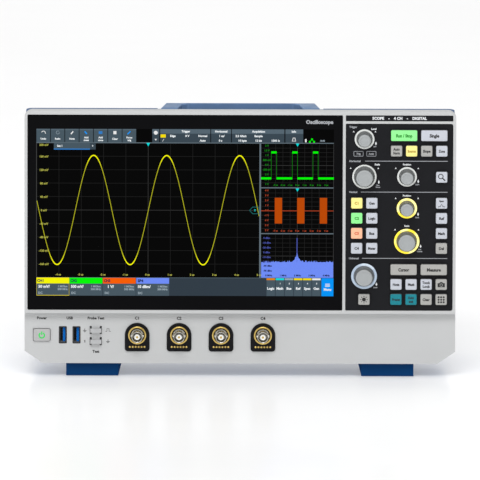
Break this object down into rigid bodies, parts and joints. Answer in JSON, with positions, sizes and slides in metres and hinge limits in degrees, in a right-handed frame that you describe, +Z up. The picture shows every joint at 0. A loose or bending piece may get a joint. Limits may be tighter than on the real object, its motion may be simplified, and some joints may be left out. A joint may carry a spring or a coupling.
{
  "type": "benchtop oscilloscope",
  "caption": "Benchtop oscilloscope with a wide touch display, key and knob panel, coaxial input strip, folding carry handle and folding front feet.",
  "frame": {"origin": "on the bench surface, at the middle of the footprint of the whole bounding box", "axes": "+X to the right seen from the front, +Y to the rear, +Z up; the display faces -Y"},
  "size_m": [0.372, 0.145, 0.234],
  "materials": {
    "front_bezel": "fine satin moulding",
    "display_glass": "gloss",
    "lcd_module": "gloss",
    "key_panel": "fine satin moulding",
    "key_board": "solder mask",
    "chassis": "bare sheet",
    "main_board": "solder mask",
    "power_supply": "board and parts",
    "fan_frame": "satin",
    "fan_rotor": "satin",
    "rear_housing": "fine grained moulding",
    "carry_handle": "fine grained moulding",
    "tilt_foot": "fine grained moulding",
    "bnc_jacks": "nickel plating",
    "channel_plates": "satin",
    "port_connectors": "plated shell",
    "key_light": "silicone key, light grey",
    "key_grey": "silicone key, mid grey",
    "key_green": "lit green",
    "key_yellow": "lit yellow",
    "key_orange": "lit orange",
    "key_teal": "teal",
    "power_key": "satin grey",
    "knob": "satin grey",
    "encoder_shaft": "turned"
  },
  "bodies": {
    "root": {"front_bezel": "front_bezel", "display_glass": "display_glass", "lcd_module": "lcd_module", "key_panel": "key_panel", "key_board": "key_board", "chassis": "chassis", "main_board": "main_board", "power_supply": "power_supply", "fan_frame": "fan_frame", "rear_housing": "rear_housing", "bnc_jacks": "bnc_jacks", "channel_plates": "channel_plates", "port_connectors": "port_connectors"},
    "fan_rotor": {"fan_rotor": "fan_rotor"},
    "carry_handle": {"carry_handle": "carry_handle"},
    "tilt_foot_left": {"tilt_foot_left": "tilt_foot"},
    "tilt_foot_right": {"tilt_foot_right": "tilt_foot"},
    "power_key": {"power_key": "power_key"},
    "key_run_stop": {"key_run_stop": "key_green"},
    "key_single": {"key_single": "key_light"},
    "key_auto_norm": {"key_auto_norm": "key_grey"},
    "key_source": {"key_source": "key_yellow"},
    "key_slope": {"key_slope": "key_grey"},
    "key_zone": {"key_zone": "key_light"},
    "key_zoom": {"key_zoom": "key_light"},
    "key_channel_1": {"key_channel_1": "key_yellow"},
    "key_channel_2": {"key_channel_2": "key_green"},
    "key_channel_3": {"key_channel_3": "key_orange"},
    "key_channel_4": {"key_channel_4": "key_light"},
    "key_generator": {"key_generator": "key_light"},
    "key_logic": {"key_logic": "key_light"},
    "key_bus": {"key_bus": "key_light"},
    "key_meter": {"key_meter": "key_light"},
    "key_spectrum": {"key_spectrum": "key_light"},
    "key_reference": {"key_reference": "key_light"},
    "key_math": {"key_math": "key_light"},
    "key_delete": {"key_delete": "key_grey"},
    "key_cursor": {"key_cursor": "key_grey"},
    "key_measure": {"key_measure": "key_grey"},
    "key_annotate": {"key_annotate": "key_light"},
    "key_mask": {"key_mask": "key_light"},
    "key_touch_lock": {"key_touch_lock": "key_light"},
    "key_camera": {"key_camera": "key_grey"},
    "key_preset": {"key_preset": "key_teal"},
    "key_autoset": {"key_autoset": "key_teal"},
    "key_clear": {"key_clear": "key_grey"},
    "key_apps": {"key_apps": "key_grey"},
    "key_brightness": {"key_brightness": "key_grey"},
    "trigger_level_shaft": {"trigger_level_shaft": "encoder_shaft"},
    "trigger_level_knob": {"trigger_level_knob": "knob"},
    "horizontal_scale_shaft": {"horizontal_scale_shaft": "encoder_shaft"},
    "horizontal_scale_knob": {"horizontal_scale_knob": "knob"},
    "horizontal_position_shaft": {"horizontal_position_shaft": "encoder_shaft"},
    "horizontal_position_knob": {"horizontal_position_knob": "knob"},
    "vertical_position_shaft": {"vertical_position_shaft": "encoder_shaft"},
    "vertical_position_knob": {"vertical_position_knob": "knob"},
    "vertical_scale_shaft": {"vertical_scale_shaft": "encoder_shaft"},
    "vertical_scale_knob": {"vertical_scale_knob": "knob"},
    "multi_purpose_shaft": {"multi_purpose_shaft": "encoder_shaft"},
    "multi_purpose_knob": {"multi_purpose_knob": "knob"}
  },
  "joints": [
    {"name": "key_run_stop_press", "type": "slide", "parent": "root", "child": "key_run_stop", "axis": [0, 1, 0], "range_m": [0, 0.0008], "stiffness_N_per_m": 400},
    {"name": "key_single_press", "type": "slide", "parent": "root", "child": "key_single", "axis": [0, 1, 0], "range_m": [0, 0.0008], "stiffness_N_per_m": 400},
    {"name": "key_auto_norm_press", "type": "slide", "parent": "root", "child": "key_auto_norm", "axis": [0, 1, 0], "range_m": [0, 0.0008], "stiffness_N_per_m": 400},
    {"name": "key_source_press", "type": "slide", "parent": "root", "child": "key_source", "axis": [0, 1, 0], "range_m": [0, 0.0008], "stiffness_N_per_m": 400},
    {"name": "key_slope_press", "type": "slide", "parent": "root", "child": "key_slope", "axis": [0, 1, 0], "range_m": [0, 0.0008], "stiffness_N_per_m": 400},
    {"name": "key_zone_press", "type": "slide", "parent": "root", "child": "key_zone", "axis": [0, 1, 0], "range_m": [0, 0.0008], "stiffness_N_per_m": 400},
    {"name": "key_zoom_press", "type": "slide", "parent": "root", "child": "key_zoom", "axis": [0, 1, 0], "range_m": [0, 0.0008], "stiffness_N_per_m": 400},
    {"name": "key_channel_1_press", "type": "slide", "parent": "root", "child": "key_channel_1", "axis": [0, 1, 0], "range_m": [0, 0.0008], "stiffness_N_per_m": 400},
    {"name": "key_channel_2_press", "type": "slide", "parent": "root", "child": "key_channel_2", "axis": [0, 1, 0], "range_m": [0, 0.0008], "stiffness_N_per_m": 400},
    {"name": "key_channel_3_press", "type": "slide", "parent": "root", "child": "key_channel_3", "axis": [0, 1, 0], "range_m": [0, 0.0008], "stiffness_N_per_m": 400},
    {"name": "key_channel_4_press", "type": "slide", "parent": "root", "child": "key_channel_4", "axis": [0, 1, 0], "range_m": [0, 0.0008], "stiffness_N_per_m": 400},
    {"name": "key_generator_press", "type": "slide", "parent": "root", "child": "key_generator", "axis": [0, 1, 0], "range_m": [0, 0.0008], "stiffness_N_per_m": 400},
    {"name": "key_logic_press", "type": "slide", "parent": "root", "child": "key_logic", "axis": [0, 1, 0], "range_m": [0, 0.0008], "stiffness_N_per_m": 400},
    {"name": "key_bus_press", "type": "slide", "parent": "root", "child": "key_bus", "axis": [0, 1, 0], "range_m": [0, 0.0008], "stiffness_N_per_m": 400},
    {"name": "key_meter_press", "type": "slide", "parent": "root", "child": "key_meter", "axis": [0, 1, 0], "range_m": [0, 0.0008], "stiffness_N_per_m": 400},
    {"name": "key_spectrum_press", "type": "slide", "parent": "root", "child": "key_spectrum", "axis": [0, 1, 0], "range_m": [0, 0.0008], "stiffness_N_per_m": 400},
    {"name": "key_reference_press", "type": "slide", "parent": "root", "child": "key_reference", "axis": [0, 1, 0], "range_m": [0, 0.0008], "stiffness_N_per_m": 400},
    {"name": "key_math_press", "type": "slide", "parent": "root", "child": "key_math", "axis": [0, 1, 0], "range_m": [0, 0.0008], "stiffness_N_per_m": 400},
    {"name": "key_delete_press", "type": "slide", "parent": "root", "child": "key_delete", "axis": [0, 1, 0], "range_m": [0, 0.0008], "stiffness_N_per_m": 400},
    {"name": "key_cursor_press", "type": "slide", "parent": "root", "child": "key_cursor", "axis": [0, 1, 0], "range_m": [0, 0.0008], "stiffness_N_per_m": 400},
    {"name": "key_measure_press", "type": "slide", "parent": "root", "child": "key_measure", "axis": [0, 1, 0], "range_m": [0, 0.0008], "stiffness_N_per_m": 400},
    {"name": "key_annotate_press", "type": "slide", "parent": "root", "child": "key_annotate", "axis": [0, 1, 0], "range_m": [0, 0.0008], "stiffness_N_per_m": 400},
    {"name": "key_mask_press", "type": "slide", "parent": "root", "child": "key_mask", "axis": [0, 1, 0], "range_m": [0, 0.0008], "stiffness_N_per_m": 400},
    {"name": "key_touch_lock_press", "type": "slide", "parent": "root", "child": "key_touch_lock", "axis": [0, 1, 0], "range_m": [0, 0.0008], "stiffness_N_per_m": 400},
    {"name": "key_camera_press", "type": "slide", "parent": "root", "child": "key_camera", "axis": [0, 1, 0], "range_m": [0, 0.0008], "stiffness_N_per_m": 400},
    {"name": "key_preset_press", "type": "slide", "parent": "root", "child": "key_preset", "axis": [0, 1, 0], "range_m": [0, 0.0008], "stiffness_N_per_m": 400},
    {"name": "key_autoset_press", "type": "slide", "parent": "root", "child": "key_autoset", "axis": [0, 1, 0], "range_m": [0, 0.0008], "stiffness_N_per_m": 400},
    {"name": "key_clear_press", "type": "slide", "parent": "root", "child": "key_clear", "axis": [0, 1, 0], "range_m": [0, 0.0008], "stiffness_N_per_m": 400},
    {"name": "key_apps_press", "type": "slide", "parent": "root", "child": "key_apps", "axis": [0, 1, 0], "range_m": [0, 0.0008], "stiffness_N_per_m": 400},
    {"name": "key_brightness_press", "type": "slide", "parent": "root", "child": "key_brightness", "axis": [0, 1, 0], "range_m": [0, 0.0008], "stiffness_N_per_m": 400},
    {"name": "power_key_press", "type": "slide", "parent": "root", "child": "power_key", "axis": [0, 1, 0], "range_m": [0, 0.0008], "stiffness_N_per_m": 400},
    {"name": "trigger_level_push", "type": "slide", "parent": "root", "child": "trigger_level_shaft", "axis": [0, 1, 0], "range_m": [0, 0.0006], "stiffness_N_per_m": 600},
    {"name": "trigger_level_turn", "type": "hinge", "parent": "trigger_level_shaft", "child": "trigger_level_knob", "pos_m": [0.107, -0.0675, 0.2098], "axis": [0, 1, 0], "continuous": true},
    {"name": "horizontal_scale_push", "type": "slide", "parent": "root", "child": "horizontal_scale_shaft", "axis": [0, 1, 0], "range_m": [0, 0.0006], "stiffness_N_per_m": 600},
    {"name": "horizontal_scale_turn", "type": "hinge", "parent": "horizontal_scale_shaft", "child": "horizontal_scale_knob", "pos_m": [0.107, -0.0675, 0.177], "axis": [0, 1, 0], "continuous": true},
    {"name": "horizontal_position_push", "type": "slide", "parent": "root", "child": "horizontal_position_shaft", "axis": [0, 1, 0], "range_m": [0, 0.0006], "stiffness_N_per_m": 600},
    {"name": "horizontal_position_turn", "type": "hinge", "parent": "horizontal_position_shaft", "child": "horizontal_position_knob", "pos_m": [0.1437, -0.0675, 0.177], "axis": [0, 1, 0], "continuous": true},
    {"name": "vertical_position_push", "type": "slide", "parent": "root", "child": "vertical_position_shaft", "axis": [0, 1, 0], "range_m": [0, 0.0006], "stiffness_N_per_m": 600},
    {"name": "vertical_position_turn", "type": "hinge", "parent": "vertical_position_shaft", "child": "vertical_position_knob", "pos_m": [0.1437, -0.0675, 0.1494], "axis": [0, 1, 0], "continuous": true},
    {"name": "vertical_scale_push", "type": "slide", "parent": "root", "child": "vertical_scale_shaft", "axis": [0, 1, 0], "range_m": [0, 0.0006], "stiffness_N_per_m": 600},
    {"name": "vertical_scale_turn", "type": "hinge", "parent": "vertical_scale_shaft", "child": "vertical_scale_knob", "pos_m": [0.1437, -0.0675, 0.1205], "axis": [0, 1, 0], "continuous": true},
    {"name": "multi_purpose_push", "type": "slide", "parent": "root", "child": "multi_purpose_shaft", "axis": [0, 1, 0], "range_m": [0, 0.0006], "stiffness_N_per_m": 600},
    {"name": "multi_purpose_turn", "type": "hinge", "parent": "multi_purpose_shaft", "child": "multi_purpose_knob", "pos_m": [0.107, -0.0675, 0.0899], "axis": [0, 1, 0], "continuous": true},
    {"name": "handle_fold", "type": "hinge", "parent": "root", "child": "carry_handle", "pos_m": [0, -0.03765, 0.22625], "axis": [1, 0, 0], "range_deg": [0, 90]},
    {"name": "tilt_foot_left_fold", "type": "hinge", "parent": "root", "child": "tilt_foot_left", "pos_m": [-0.12755, -0.0445, 0.0062], "axis": [-1, 0, 0], "range_deg": [0, 90]},
    {"name": "tilt_foot_right_fold", "type": "hinge", "parent": "root", "child": "tilt_foot_right", "pos_m": [0.12755, -0.0445, 0.0062], "axis": [-1, 0, 0], "range_deg": [0, 90]},
    {"name": "fan_spin", "type": "hinge", "parent": "root", "child": "fan_rotor", "pos_m": [-0.102, 0.054, 0.118], "axis": [0, 1, 0], "continuous": true}
  ]
}
